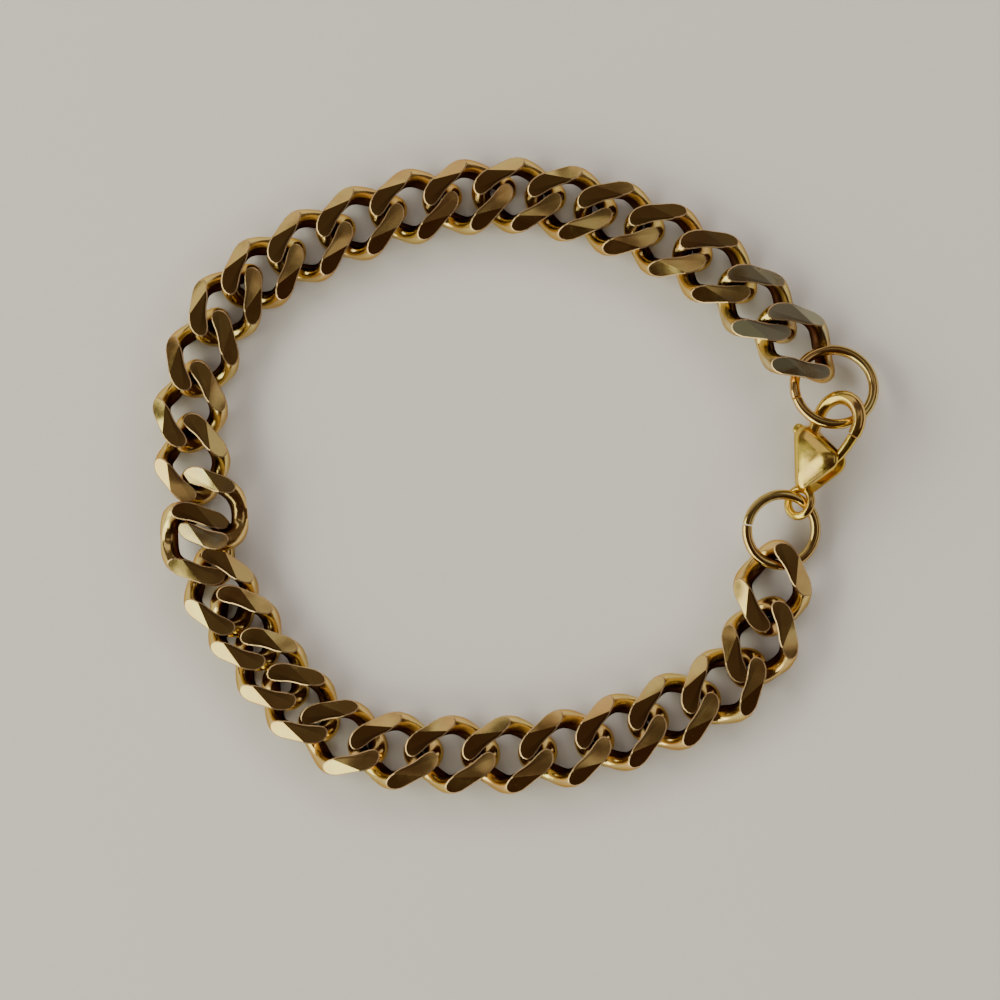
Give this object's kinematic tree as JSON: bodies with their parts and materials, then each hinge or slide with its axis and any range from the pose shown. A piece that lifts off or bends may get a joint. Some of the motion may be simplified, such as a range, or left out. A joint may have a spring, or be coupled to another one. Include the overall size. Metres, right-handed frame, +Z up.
{
  "type": "link bracelet",
  "caption": "Closed curb-link bracelet with flat-ground facets, lying in an open loop, joined by two jump rings and a sprung claw clasp.",
  "frame": {"origin": "middle of the bounding box on the surface that the bracelet lies on", "axes": "+Z up from the surface, +X along the longer width of the loop towards the clasp, +Y towards the top of the picture"},
  "size_m": [0.0696, 0.0608, 0.0051],
  "materials": {
    "gold_tone": "polished, worn to grey in places"
  },
  "bodies": {
    "bracelet": {"link_1": "gold_tone", "link_2": "gold_tone", "link_3": "gold_tone", "link_4": "gold_tone", "link_5": "gold_tone", "link_6": "gold_tone", "link_7": "gold_tone", "link_8": "gold_tone", "link_9": "gold_tone", "link_10": "gold_tone", "link_11": "gold_tone", "link_12": "gold_tone", "link_13": "gold_tone", "link_14": "gold_tone", "link_15": "gold_tone", "link_16": "gold_tone", "link_17": "gold_tone", "link_18": "gold_tone", "link_19": "gold_tone", "link_20": "gold_tone", "link_21": "gold_tone", "link_22": "gold_tone", "link_23": "gold_tone", "link_24": "gold_tone", "link_25": "gold_tone", "link_26": "gold_tone", "link_27": "gold_tone", "link_28": "gold_tone", "link_29": "gold_tone", "link_30": "gold_tone", "link_31": "gold_tone", "link_32": "gold_tone", "hook_ring": "gold_tone", "eye_ring": "gold_tone", "clasp_body": "gold_tone", "clasp_pin": "gold_tone"},
    "lever": {"clasp_lever": "gold_tone"}
  },
  "joints": [
    {"name": "clasp_lever_hinge", "type": "hinge", "parent": "bracelet", "child": "lever", "pos_m": [0.02997, 0.00001, 0.00308], "axis": [-0.5607, 0.1081, 0.821], "range_deg": [0, 20], "stiffness_Nm_per_rad": 0.0115}
  ]
}
